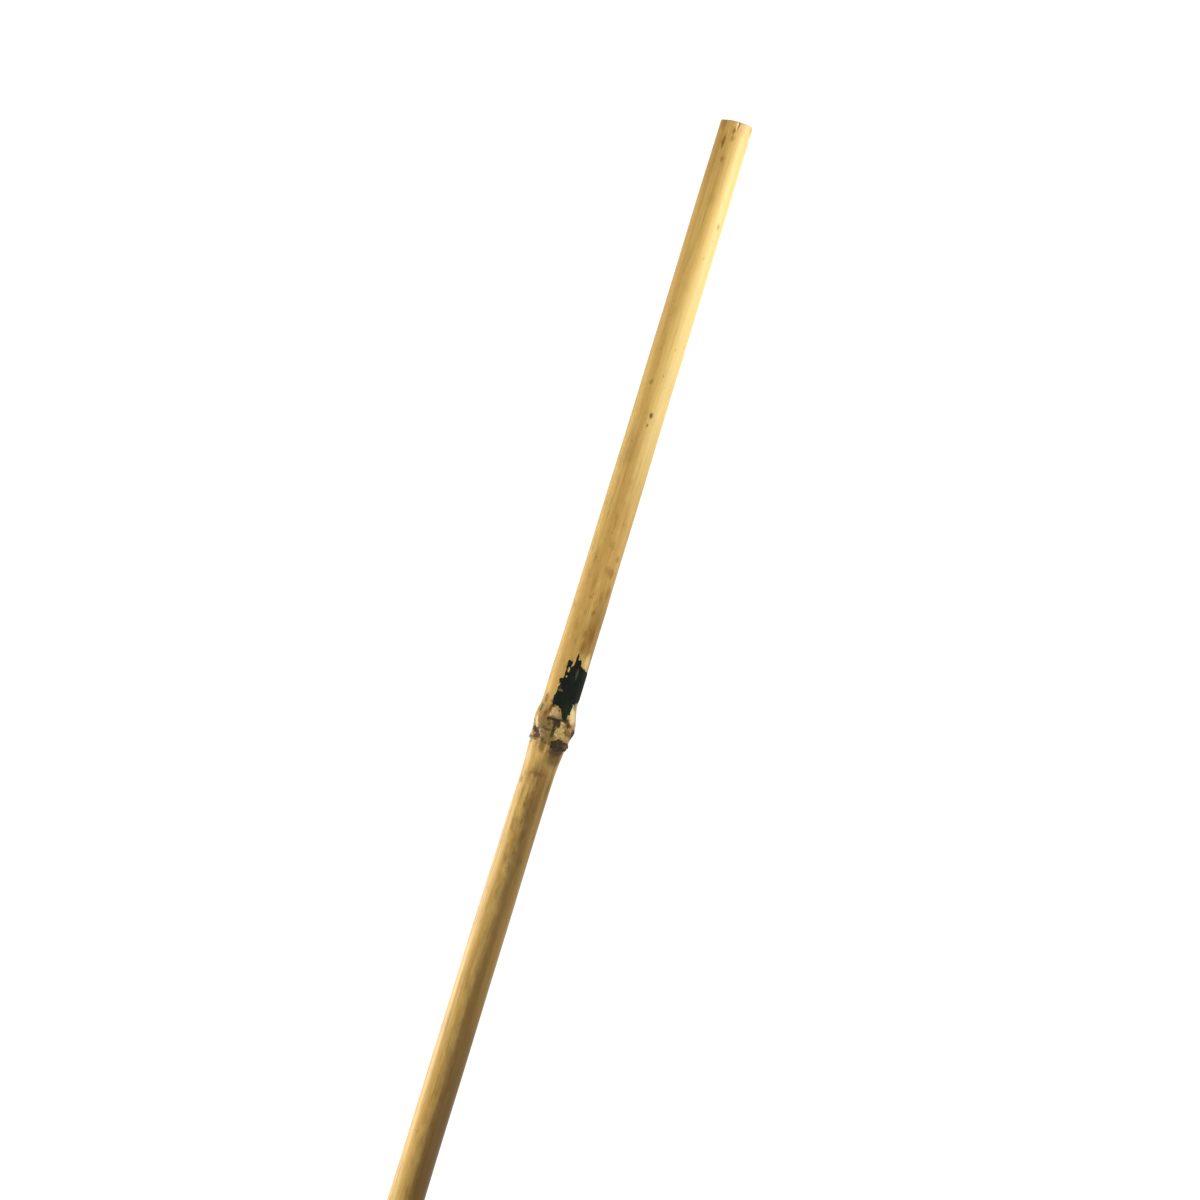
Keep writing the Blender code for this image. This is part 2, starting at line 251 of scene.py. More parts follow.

# Stains of the skin, with a few patches of painted shade: turn in degrees, above, half width, half height,
# softness, strength, colour
STAINS_AND_SHADE = [
    # round the node
    (8, 8.5, 9.5, 9.0, 0.35, 0.45, UMBER),
    # Painted shade: the left edge of the node darkened, where less light reaches it.
    (-60, 14.0, 3.0, 9.0, 0.5, 0.3, UMBER),
    (-11, 8.6, 3.5, 4.4, 0.45, 0.9, DRAB),
    (-6, 9.4, 1.1, 1.5, 0.5, 0.7, SALLOW),
    (-14, 9.6, 0.8, 1.0, 0.5, 0.8, UMBER),
    (-26, 6.9, 1.2, 1.0, 0.5, 0.7, UMBER),
    (-13, 6.6, 1.6, 0.6, 0.5, 0.8, EARTH),
    (-41, 8.0, 0.8, 2.6, 0.5, 0.7, SALLOW),
    (-20, 11.7, 1.1, 0.9, 0.4, 0.95, EARTH),
    # Partly stain, partly painted shadow: the dark line under the bud's lower edge.
    (5, 12.3, 3.8, 1.0, 0.5, 0.95, DARK_OLIVE),
    (15, 10.2, 1.1, 1.6, 0.4, 0.9, DARK_OLIVE),
    (3, 10.3, 1.3, 1.3, 0.5, 0.85, DARK_OLIVE),
    (4, 7.6, 0.7, 3.3, 0.5, 0.9, DARK_OLIVE),
    (4, 4.5, 1.1, 1.3, 0.4, 0.95, EARTH),
    (-4, 2.4, 2.6, 2.0, 0.5, 0.6, OLIVE),
    (-20, 1.5, 0.9, 0.9, 0.5, 0.8, EARTH),
    (44, 10.9, 1.5, 1.3, 0.4, 0.95, EARTH),
    (30, 13.0, 2.4, 1.2, 0.5, 0.9, DARK_OLIVE),
    (59, 7.2, 0.4, 2.1, 0.5, 0.8, STRAW),
    (78, 7.2, 1.9, 2.9, 0.5, 1.0, DARK_BROWN),
    (72, 10.4, 1.2, 0.8, 0.5, 0.6, PINK_CREAM),
    (-59, 9.8, 1.0, 1.5, 0.4, 0.7, PALE),
    (-53, 7.6, 0.8, 1.6, 0.4, 0.7, PALE),
    (-72, 7.8, 1.2, 2.0, 0.5, 1.0, GREY_OLIVE),
    (-44, 9.8, 0.8, 2.4, 0.5, 0.6, BRACKEN),
    (-57, 4.8, 2.8, 1.6, 0.4, 1.0, PURPLE_BLACK),
    (-58, 3.0, 2.4, 1.2, 0.5, 0.75, UMBER),
    (-44, 3.6, 1.3, 0.9, 0.5, 0.9, EARTH),
    (-55, 2.9, 0.8, 0.5, 0.5, 0.8, GREY_PINK),
    (-37, 2.8, 1.3, 0.8, 0.4, 0.95, EARTH),
    (-44, 1.9, 2.2, 0.9, 0.4, 1.0, EARTH),
    (-36, 11.0, 0.9, 5.0, 0.6, 0.5, UMBER),
    (-27, 17.0, 0.6, 4.0, 0.6, 0.6, RUST),
    (-17, 20.4, 2.2, 0.9, 0.5, 0.9, EARTH),
    (-16, 18.2, 1.5, 0.9, 0.5, 0.95, EARTH),
    (56, 15.4, 2.4, 3.4, 0.4, 0.95, BLEACHED),
    (48, 19.0, 1.2, 4.4, 0.5, 0.9, BLEACHED),
    (57, 20.6, 1.1, 1.8, 0.6, 0.9, GREY_OLIVE),
    (-54, 20.8, 1.5, 2.4, 0.5, 0.9, BRACKEN),
    (-60, 22.4, 0.6, 1.0, 0.5, 0.8, EARTH),
    (-61, 15.8, 1.3, 2.0, 0.5, 1.0, OLIVE),
    (-50, 12.6, 1.0, 1.6, 0.5, 0.6, BRACKEN),
    (-33, 13.6, 0.8, 1.6, 0.5, 0.7, UMBER),
    (-24, 16.6, 0.8, 2.4, 0.5, 0.85, EARTH),
    # just below the ring
    # The next three: painted shadow below the ring and the sheath scrap on the right, laid in brown.
    (40, -2.6, 5.0, 1.4, 0.5, 0.9, DARK_BROWN),
    (30, -3.6, 3.8, 1.6, 0.5, 0.7, EARTH),
    (40, -6.0, 4.8, 4.2, 0.5, 0.75, EARTH),
    (-1, -2.2, 0.45, 2.2, 0.5, 0.75, PINK_CREAM),
    (-15, -1.8, 1.5, 3.0, 0.5, 0.75, UMBER),
    (-70, -1.0, 1.6, 1.4, 0.6, 0.6, GREY_OLIVE),
    (-2, -12.0, 1.8, 3.2, 0.8, 0.3, OLIVE),
    (0, -25.0, 0.8, 1.1, 0.7, 0.6, RUST),
    (-16, -31.5, 0.6, 0.8, 0.7, 0.6, RUST),
    (20, -60.0, 2.2, 26.0, 0.9, 0.25, OLIVE),
    (0, -15.5, 4.0, 1.2, 0.7, 0.6, UMBER),
    (-60, -20.0, 1.4, 1.6, 0.7, 0.5, UMBER),
    (54, -22.0, 1.0, 4.0, 0.6, 0.5, UMBER),
    (-37, -25.5, 0.7, 3.0, 0.6, 0.5, BRACKEN),
    (1, -30.0, 1.2, 3.0, 0.6, 0.4, UMBER),
    (11, -47.0, 0.9, 4.0, 0.6, 0.6, UMBER),
    (-16, -50.0, 1.2, 6.0, 0.6, 0.5, BRACKEN),
    (24, -58.0, 1.6, 2.4, 0.6, 0.5, OLIVE),
    # above the paint
    (20, 48.6, 1.5, 2.8, 0.7, 0.75, BRACKEN),
    (40, 55.5, 1.3, 3.6, 0.7, 0.7, BRACKEN),
    (24, 55.0, 3.2, 7.0, 0.8, 0.55, BRACKEN),
    (14, 55.5, 0.9, 1.6, 0.6, 0.6, BRACKEN),
    (21, 66.0, 1.1, 1.5, 0.7, 0.7, BRACKEN),
    (44, 72.0, 3.2, 14.0, 0.8, 0.3, BRACKEN),
    (-5, 73.2, 0.9, 0.7, 0.6, 0.5, BRACKEN),
    (31, 74.0, 0.9, 3.0, 0.8, 0.45, BRACKEN),
    (53, 77.0, 1.3, 3.0, 0.8, 0.6, BRACKEN),
    (-7, 80.0, 0.9, 3.5, 0.8, 0.35, BRACKEN),
    (41, 86.5, 1.6, 2.2, 0.8, 0.65, BRACKEN),
    (22, 87.6, 1.4, 2.0, 0.8, 0.4, BRACKEN),
    (-29, 92.0, 0.8, 4.5, 0.8, 0.35, BRACKEN),
    (49, 93.8, 1.3, 1.6, 0.8, 0.55, BRACKEN),
    (0, 113.0, 0.8, 1.8, 0.8, 0.3, BRACKEN),
    (84, 66.0, 1.4, 6.0, 0.6, 0.9, OLIVE),
    (54, 42.6, 1.8, 3.4, 0.5, 0.9, PALE),
    # along the upper cane
    (11, 164.4, 0.8, 1.5, 0.6, 0.8, DARK_BROWN),
    (7, 159.5, 0.6, 0.8, 0.6, 0.6, DARK_BROWN),
    (-24, 180.0, 0.9, 1.2, 0.7, 0.5, UMBER),
    (46, 260.0, 0.8, 1.3, 0.7, 0.5, UMBER),
    (-15, 291.6, 1.0, 1.4, 0.6, 0.6, BRACKEN),
    (-29, 300.0, 0.95, 3.1, 0.5, 0.9, BRACKEN),
    (-29, 298.8, 0.5, 1.6, 0.5, 0.6, UMBER),
    (-3, 306.2, 0.9, 1.7, 0.5, 0.85, BRACKEN),
    (4, 310.2, 0.4, 2.2, 0.5, 0.8, BLEACHED),
    (12, 309.8, 0.4, 2.0, 0.5, 0.8, BLEACHED),
    (8, 309.6, 0.35, 2.4, 0.5, 0.7, BRACKEN),
    (0, 302.6, 0.9, 1.6, 0.7, 0.8, SALLOW),
    (-54, 309.5, 2.6, 3.0, 0.8, 0.6, BRACKEN),
    # Painted shade: the left side darkened near the top end.
    (-60, 300.0, 5.0, 26.0, 0.9, 0.45, BRACKEN),
    (24, 308.5, 1.9, 3.4, 0.7, 0.6, PINK_CREAM),
    (70, 300.0, 0.6, 2.6, 0.7, 0.5, SALLOW),
    (72, 309.0, 1.6, 2.4, 0.6, 0.5, SALLOW),
]

# Marks of the small pieces, laid out as the stains are
STUB_MARKS = [
    (47, 7.8, 2.4, 2.0, 0.3, 0.85, BROWN),
    (52, 5.8, 0.7, 0.7, 0.5, 0.8, RUST),
    (24, 4.4, 1.4, 1.0, 0.5, 0.7, PINK_CREAM),
    (44, 4.4, 2.0, 0.8, 0.5, 0.7, PINK_CREAM),
]
SIDE_STUB_MARKS = [(-19, 4.2, 1.5, 1.8, 0.6, 0.8, SALLOW)]
SCAR_MARKS = [
    (-44, 1.7, 2.2, 0.8, 0.4, 0.9, EARTH),
    (-32, 1.0, 1.3, 0.8, 0.4, 0.9, PINK_CREAM),
    (-72, 0.6, 2.6, 1.3, 0.5, 0.8, GREY_OLIVE),
    (-20, 1.4, 0.9, 0.9, 0.5, 0.8, EARTH),
    (-2, 0.4, 2.4, 1.2, 0.5, 0.7, OLIVE),
]
FLAKE_MARKS = [
    (10, -0.3, 0.9, 1.4, 0.5, 0.85, GREEN_BLACK),
    (27, 3.2, 0.8, 1.2, 0.5, 0.8, EARTH),
    (58, 0.6, 1.6, 1.2, 0.6, 0.5, BROWN),
    (84, -0.4, 1.0, 1.6, 0.5, 0.8, GREEN_BLACK),
]
BUD_MARKS = [
    # Partly stain, partly painted shadow: the dark line along the bud's lower edge.
    (0, 13.0, 4.6, 0.6, 0.5, 0.7, OLIVE),
    (-21, 16.6, 0.5, 2.4, 0.5, 0.8, EARTH),
    (12, 14.0, 1.6, 0.8, 0.6, 0.6, GREY_OLIVE),
    (-12, 18.9, 1.4, 0.5, 0.5, 0.8, UMBER),
]
PAINT_MARKS = [
    (30, 16.0, 2.4, 5.0, 0.6, 0.6, GREEN_EDGE),
    (-11, 26.4, 1.3, 0.5, 0.5, 0.6, GREY_OLIVE),
    (28, 35.5, 0.5, 2.5, 0.6, 0.3, GREY_OLIVE),
    (-18, 28.0, 1.0, 1.2, 0.5, 0.7, PURPLE_BLACK),
]


# ---------------------------------------------------------------- shape of the cane


def wrapped(degrees):
    """The same turn between -180 and 180 degrees."""
    return (degrees + 180.0) % 360.0 - 180.0


def ripple(turn, above):
    """Slow, small departures of the cane from round and from an even taper."""
    angle = np.radians(turn)
    return (
        0.09 * np.cos(2 * (angle - 0.7))
        + 0.06 * np.sin(above / 31.0 - 1.0)
        + 0.05 * np.sin(3 * angle + above / 47.0)
        + 0.04 * np.sin(above / 11.3 + 2 * angle)
    )


def skin(turn, above):
    """Outer radius in millimetres at this turn (degrees) and height above the scar."""
    below_share = (np.clip(above + NODE, 0, NODE) / NODE) ** TAPER_EXPONENT
    above_share = (np.clip(above, 0, LENGTH - NODE) / (LENGTH - NODE)) ** TAPER_EXPONENT
    taper_below = BUTT_EXTRA * (1 - below_share)
    taper_above = ABOVE_NODE_EXTRA + (TOP_EXTRA - ABOVE_NODE_EXTRA) * above_share
    radius = CANE_RADIUS + np.where(above < 0, taper_below, taper_above)
    radius = radius + RIDGE_SWELL * np.exp(-(((above - RIDGE_ABOVE) / RIDGE_REACH) ** 2))
    radius = radius + LIP_SWELL * np.exp(-((above / LIP_REACH) ** 2))
    across = np.radians(wrapped(turn - GROOVE_TURN)) * ARC_RADIUS / GROOVE_HALF_WIDTH
    along = (above - GROOVE_ABOVE) / GROOVE_HALF_LENGTH
    bed = np.clip(1 - across**2, 0, 1) ** 2 * np.clip(1 - along**2, 0, 1) ** 1.5
    radius = radius - GROOVE_DEPTH * bed
    for place, height, half_width, half_height, rise in RELIEF:
        across = np.radians(wrapped(turn - place)) * ARC_RADIUS / half_width
        radius = radius + rise * np.exp(-(across**2) - ((above - height) / half_height) ** 2)
    return radius + ripple(turn, above)


def bow(above):
    """Sideways shift of the cane's middle line at this height."""
    share = np.clip(-above / NODE, 0, 1)
    bent = (1 + BOW_QUICKNESS) * share / (share + BOW_QUICKNESS)
    jog = np.exp(-(((above - NODE_MIDDLE_ABOVE) / NODE_SHIFT_REACH) ** 2))
    return BUTT_SHIFT * bent + NODE_SHIFT * jog


def to_frame(radius, turn, above):
    """Points in metres from radii, turns in degrees and heights above the scar."""
    angle = np.radians(turn)
    points = (radius * np.sin(angle) + bow(above), -radius * np.cos(angle), above + NODE + 0 * angle)
    return np.stack(points, axis=-1) * MM


def grain(points, across, along):
    """One noise value per point, stretched along the cane; scales are per millimetre."""
    flat = points.reshape(-1, 3) / MM
    values = [noise.noise(Vector((x * across, y * across, z * along))) for x, y, z in flat]
    return np.array(values).reshape(points.shape[:-1])


def roughened(turn, above):
    """Skin radii with the fine relief of the wood, strongest about the node."""
    radius = skin(turn, above)
    points = to_frame(radius, turn, above)
    near_node = np.exp(-(((above - NODE_MIDDLE_ABOVE) / RELIEF_REACH) ** 2))
    radius = radius + GRAIN_RELIEF * grain(points, 0.9, 0.05)
    lumps = COARSE_RELIEF * grain(points, 0.55, 0.4) + FINE_RELIEF * grain(points, 1.5, 0.8)
    return radius + near_node * lumps


def rows_between(low, high, step):
    return np.linspace(low, high, max(2, round((high - low) / step) + 1))


def turns_round():
    return np.arange(AROUND) * 360.0 / AROUND - 180.0


def tube(name, bands):
    """A closed ring of bands. Each band is (rows of points, material index); the last band
    joins the first again."""
    rings = np.concatenate([rows for rows, _ in bands])
    slots = np.concatenate([np.full(len(rows), slot) for rows, slot in bands])
    count = len(rings)
    ring = np.arange(count)[:, None] * AROUND
    next_ring = (np.arange(count)[:, None] + 1) % count * AROUND
    place = np.arange(AROUND)[None, :]
    next_place = (place + 1) % AROUND
    quads = np.stack(
        [ring + place, ring + next_place, next_ring + next_place, next_ring + place], axis=-1
    )
    mesh = bpy.data.meshes.new(name)
    mesh.from_pydata(rings.reshape(-1, 3).tolist(), [], quads.reshape(-1, 4).tolist())
    mesh.polygons.foreach_set("material_index", np.repeat(slots, AROUND))
    return mesh


def finished(name, mesh, materials, node):
    """Turns a closed mesh into a piece that stands for a CAD node."""
    shape = bmesh.new()
    shape.from_mesh(mesh)
    bmesh.ops.recalc_face_normals(shape, faces=shape.faces)
    for face in shape.faces:
        face.smooth = True
    shape.to_mesh(mesh)
    shape.free()
    mesh.set_sharp_from_angle(angle=math.radians(SHARP_ANGLE))
    for material in materials:
        mesh.materials.append(material)
    obj = bpy.data.objects.new(name, mesh)
    bpy.context.scene.collection.objects.link(obj)
    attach(obj, "root")
    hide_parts(node)
    return obj


def outer_rows(above):
    """Skin points for rows at these heights."""
    turn = np.broadcast_to(turns_round(), (len(above), AROUND))
    height = np.broadcast_to(above[:, None], turn.shape)
    return to_frame(roughened(turn, height), turn, height)


def bore_rows(above, radius):
    turn = np.broadcast_to(turns_round(), (len(above), AROUND))
    height = np.broadcast_to(above[:, None], turn.shape)
    wavy = radius + 0.15 * np.sin(3 * np.radians(turn) + height / 40)
    return to_frame(wavy, turn, height)


def flat_rows(above, inner):
    """A plain annulus where two pieces of the cane meet."""
    turn = turns_round()
    height = np.full(AROUND, above)
    outside = roughened(turn, height)
    shares = np.linspace(0, 1, 5)[1:-1]
    rows = [outside + (inner - outside) * share for share in shares]
    return np.stack([to_frame(row, turn, height) for row in rows])


def sawn_rows(above, side):
    """The rounded rim and the rough face of a sawn end. side is 1 at the top and -1 at the bottom."""
    turn = turns_round()
    outside = roughened(turn, np.full(AROUND, above - side * END_ROUNDING))
    worn = 1.0 + WORN_EXTRA * np.exp(-((wrapped(turn - WORN_TURN) / WORN_HALF_WIDTH) ** 2))
    across = np.radians(wrapped(turn - FISSURE_TURN)) * CANE_RADIUS
    crack = np.exp(-((across / FISSURE_END_HALF_WIDTH) ** 2))
    rows = []
    for share in (0.3, 0.6, 0.85, 1.0):
        drop = END_ROUNDING * (1 - math.sqrt(1 - share**2)) * worn
        lift = END_ROUNDING * share - WORN_DIP * (worn - 1) * share
        rows.append(to_frame(outside - drop, turn, above - side * (END_ROUNDING - lift)))
    edge = outside - END_ROUNDING * worn
    for share in np.linspace(0.08, 1.0, 10):
        radius = edge + (BORE_RADIUS - edge) * share
        height = np.full(AROUND, above) - side * WORN_DIP * (worn - 1) * (1 - share)
        points = to_frame(radius, turn, height)
        rough = SAW_ROUGHNESS * (grain(points, 1.6, 1.6) - 0.6)
        gap = FISSURE_END_DROP * crack * (1 - share) if side > 0 else 0
        points[:, 2] += side * (rough - gap) * MM
        rows.append(points)
    return np.stack(rows)


def with_fissure(points, above):
    """Opens a short crack in the skin below the top end."""
    turn = np.degrees(np.arctan2(points[..., 0], -points[..., 1]))
    wander = 0.25 * np.sin(above[:, None] * 1.7)
    across = np.radians(wrapped(turn - FISSURE_TURN)) * CANE_RADIUS + wander
    top = LENGTH - NODE
    share = np.clip((above[:, None] - top + FISSURE_LENGTH) / FISSURE_LENGTH, 0, 1)
    depth = FISSURE_DEPTH * share * np.exp(-((across / FISSURE_HALF_WIDTH) ** 2))
    scale = 1 - depth / CANE_RADIUS
    points[..., 0] *= scale
    points[..., 1] *= scale
    return points


def lower_cane(materials):
    rounded = -NODE + END_ROUNDING
    coarse = rows_between(rounded, COLLAR_ABOVE - FINE_REACH, LONG_ROW)
    fine = rows_between(coarse[-1], COLLAR_ABOVE, FINE_ROW)[1:]
    outer = outer_rows(np.concatenate([coarse, fine]))
    bands = [
        (outer, 0),
        (flat_rows(COLLAR_ABOVE, BORE_RADIUS), 1),
        (bore_rows(rows_between(COLLAR_ABOVE, -NODE + 0.1, 20.0), BORE_RADIUS), 2),
        (sawn_rows(-NODE, -1)[::-1], 1),
    ]
    return finished("lower_cane", tube("lower_cane", bands), materials, "lower_internode")


def node_ridge(materials):
    outer = outer_rows(rows_between(COLLAR_ABOVE, RIDGE_TOP_ABOVE, FINE_ROW))
    bands = [
        (outer, 0),
        (flat_rows(RIDGE_TOP_ABOVE, NODE_BORE_RADIUS), 1),
        (bore_rows(rows_between(RIDGE_TOP_ABOVE, COLLAR_ABOVE, 2.0), NODE_BORE_RADIUS), 2),
        (flat_rows(COLLAR_ABOVE, NODE_BORE_RADIUS)[::-1], 1),
    ]
    return finished("node_ridge", tube("node_ridge", bands), materials, "nodal_ridge")


def upper_cane(materials):
    top = LENGTH - NODE
    fine = rows_between(RIDGE_TOP_ABOVE, RIDGE_TOP_ABOVE + 4.0, FINE_ROW)
    middle = rows_between(fine[-1], top - 8.0, LONG_ROW / 2)[1:]
    end = rows_between(middle[-1], top - END_ROUNDING, FINE_ROW)[1:]
    above = np.concatenate([fine, middle, end])
    bands = [
        (with_fissure(outer_rows(above), above), 0),
        (sawn_rows(top, 1), 1),
        (bore_rows(rows_between(top - 0.1, RIDGE_TOP_ABOVE, 20.0), BORE_RADIUS), 2),
        (flat_rows(RIDGE_TOP_ABOVE, BORE_RADIUS)[::-1], 1),
    ]
    return finished("upper_cane", tube("upper_cane", bands), materials, "upper_internode")


# ---------------------------------------------------------------- pieces about the node


def scar_ring(materials):
    """The ragged ring left by the sheath, higher on the left."""
    turn = turns_round()
    tilt = SCAR_ABOVE - np.sin(np.radians(turn)) * CANE_RADIUS * SCAR_TILT
    place = to_frame(np.full(AROUND, CANE_RADIUS), turn, np.zeros(AROUND))
    ragged = grain(place, 0.8, 0.8)
    nicks = grain(place, 2.1, 2.1)
    rows = []
    for step in range(SCAR_STEPS):
        angle = step / SCAR_STEPS * 2 * math.pi
        upright = np.sin(angle) * SCAR_HALF_HEIGHT * (1 + 0.5 * ragged)
        outward = (0.5 + 0.5 * math.cos(angle)) * SCAR_THICKNESS * (0.9 + 0.5 * nicks + 0.4 * ragged)
        above = tilt + upright
        radius = skin(turn, above) + outward - 0.15
        rows.append(to_frame(radius, turn, above + 0.12 * nicks))
    mesh = tube("scar_ring", [(np.stack(rows), 0)])
    return finished("scar_ring", mesh, materials, "sheath_scar")


def outline_field(arc, above, outline):
    """Distance in millimetres from each point to a closed outline, positive inside it."""
    corners = np.array([(math.radians(turn) * ARC_RADIUS, height) for turn, height in outline])
    distance = np.full(arc.shape, 1e9)
    inside = np.zeros(arc.shape, bool)
    for (ax, az), (bx, bz) in zip(corners, np.roll(corners, -1, axis=0)):
        dx, dz = bx - ax, bz - az
        share = np.clip(((arc - ax) * dx + (above - az) * dz) / (dx * dx + dz * dz), 0, 1)
        distance = np.minimum(distance, np.hypot(arc - ax - share * dx, above - az - share * dz))
        crosses = (az > above) != (bz > above)
        with np.errstate(divide="ignore", invalid="ignore"):
            inside ^= crosses & (arc < ax + (above - az) * dx / dz)
    return np.where(inside, distance, -distance)


def cut_grid(arc, above, field):
    """Triangles of the part of a grid where field is positive, its edge cut between grid points.
    Returns points (arc, above, field) and triangles."""
    rows, columns = field.shape
    points = [(a, h, f) for a, h, f in zip(arc.flat, above.flat, field.flat)]
    found, triangles = {}, []

    def crossing(one, two):
        key = (min(one, two), max(one, two))
        if key not in found:
            a, b = points[one], points[two]
            share = a[2] / (a[2] - b[2])
            found[key] = len(points)
            points.append((a[0] + (b[0] - a[0]) * share, a[1] + (b[1] - a[1]) * share, 0.0))
        return found[key]

    for row in range(rows - 1):
        for column in range(columns - 1):
            a = row * columns + column
            b, c, d = a + 1, a + columns + 1, a + columns
            for corners in ((a, b, c), (a, c, d)):
                kept = []
                for one, two in zip(corners, corners[1:] + corners[:1]):
                    if points[one][2] > 0:
                        kept.append(one)
                    if (points[one][2] > 0) != (points[two][2] > 0):
                        kept.append(crossing(one, two))
                for i in range(1, len(kept) - 1):
                    triangles.append((kept[0], kept[i], kept[i + 1]))
    used = sorted({i for triangle in triangles for i in triangle})
    order = {old: new for new, old in enumerate(used)}
    triangles = [tuple(order[i] for i in triangle) for triangle in triangles]
    return np.array([points[i] for i in used]), triangles


def film(name, outline, cell, ragged, gaps, top, bottom, materials, node, slot):
    """A thin closed piece on the skin. top and bottom give its two faces from the skin's radius,
    the turn, the height and the distance in from the edge."""
    arcs = np.array([math.radians(turn) * ARC_RADIUS for turn, _ in outline])
    heights = np.array([height for _, height in outline])
    arc, above = np.meshgrid(
        np.arange(arcs.min() - 1, arcs.max() + 1, cell),
        np.arange(heights.min() - 1, heights.max() + 1, cell),
    )
    field = outline_field(arc, above, outline)
    for strength, across, along in ragged:
        wave = [noise.noise(Vector((a * across, h * along, 3.7))) for a, h in zip(arc.flat, above.flat)]
        field = field + strength * np.array(wave).reshape(arc.shape)
    for turn, height, half_width, half_height in gaps:
        away = np.hypot((arc - math.radians(turn) * ARC_RADIUS) / half_width, (above - height) / half_height)
        field = np.minimum(field, (away - 1) * half_width)
    points, triangles = cut_grid(arc, above, field)
    turn = np.degrees(points[:, 0] / ARC_RADIUS)
    radius = skin(turn, points[:, 1])
    upper = to_frame(top(radius, turn, points[:, 1], points[:, 2]), turn, points[:, 1])
    lower = to_frame(bottom(radius, turn, points[:, 1], points[:, 2]), turn, points[:, 1])
    count = len(points)
    faces = triangles + [tuple(i + count for i in reversed(triangle)) for triangle in triangles]
    sides = {}
    for triangle in triangles:
        for one, two in zip(triangle, triangle[1:] + triangle[:1]):
            sides[(one, two)] = sides.get((one, two), 0) + 1
    for one, two in sides:
        if (two, one) not in sides:
            faces.append((two, one, one + count, two + count))
    mesh = bpy.data.meshes.new(name)
    mesh.from_pydata(np.concatenate([upper, lower]).tolist(), [], faces)
    return finished(name, mesh, materials, node)


def eased(value, low, high):
    share = np.clip((value - low) / (high - low), 0, 1)
    return share * share * (3 - 2 * share)


def paint(materials):
    def top(radius, turn, above, inward):
        full = eased(inward, 0.0, PAINT_EDGE)
        brush = 0.03 * np.sin(np.radians(turn) * ARC_RADIUS * 7 + above * 0.15)
        return radius + PAINT_LIFT + PAINT_THICKNESS * full + brush * full

    def bottom(radius, turn, above, inward):
        return radius - PAINT_ROOT

    ragged = [(0.9, 0.8, 0.3), (0.5, 2.0, 0.9)]
    names = ("paint_patch", "dark_paint")
    return film(
        "dark_paint", PAINT_OUTLINE, FILM_CELL, ragged, PAINT_GAPS, top, bottom, materials, *names
    )


def sheath_flake(materials):
    def lumps(turn, above):
        places = zip(np.radians(turn) * ARC_RADIUS, above)
        return np.array([noise.noise(Vector((a * 0.7, h * 0.9, 8.1))) for a, h in places])

    def top(radius, turn, above, inward):
        bulge = FLAKE_THICKNESS * eased(inward, -0.1, 0.8)
        return radius + FLAKE_LIFT * 0.55 + bulge + 0.35 * lumps(turn, above)

    def bottom(radius, turn, above, inward):
        return radius + 0.1

    ragged = [(0.7, 0.7, 0.8), (0.4, 1.9, 1.7)]
    names = ("sheath_remnant", "dried_sheath")
    return film("sheath_flake", FLAKE_OUTLINE, FILM_CELL, ragged, [], top, bottom, materials, *names)


def mound(name, outline, rise, reach, cells, depth, materials, node, slot):
    """A lump grown from or torn off the wood. It reaches its full rise at reach in from its edge,
    and cells and depth shape its fibre bundles."""

    def top(radius, turn, above, inward):
        bundles = []
        for a, h in zip(np.radians(turn) * ARC_RADIUS, above):
            spot = Vector((a * cells, h * cells * 0.55, 5.3))
            spot += noise.noise_vector(spot * 0.8) * 0.5
            near, _ = noise.voronoi(spot)
            bundles.append(min(1.0, (near[1] - near[0]) * 1.8) - 0.5 + 0.6 * noise.noise(spot * 0.9))
        full = eased(inward, -0.05, reach)
        return radius - 0.1 + rise * full + depth * full * np.array(bundles)

    def bottom(radius, turn, above, inward):
        return radius - MOUND_ROOT

    ragged = [(0.7, 0.6, 0.5), (0.35, 1.9, 1.1)]
    return film(name, outline, MOUND_CELL, ragged, [], top, bottom, materials, node, slot)


def diaphragm(materials):
    """The dished woody plate that closes the bore at the node."""
    low, high = (corner.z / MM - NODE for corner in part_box("node_diaphragm"))
    turn = turns_round()
    rows = []
    for step in range(DIAPHRAGM_STEPS):
        share = step / (DIAPHRAGM_STEPS - 1)
        radius = (NODE_BORE_RADIUS - 0.3) * share + 0.02
        dish = (high - low - DIAPHRAGM_CAD_THICKNESS) * (1 - share**2)
        rows.append((radius, high - dish + 0.12 * math.sin(share * 20)))
    rows += [(radius, height - DIAPHRAGM_THICKNESS) for radius, height in reversed(rows)]
    points = [to_frame(np.full(AROUND, radius), turn, np.full(AROUND, height)) for radius, height in rows]
    mesh = tube("diaphragm", [(np.stack(points), 0)])
    return finished("diaphragm", mesh, materials, "node_diaphragm")


# ---------------------------------------------------------------- materials


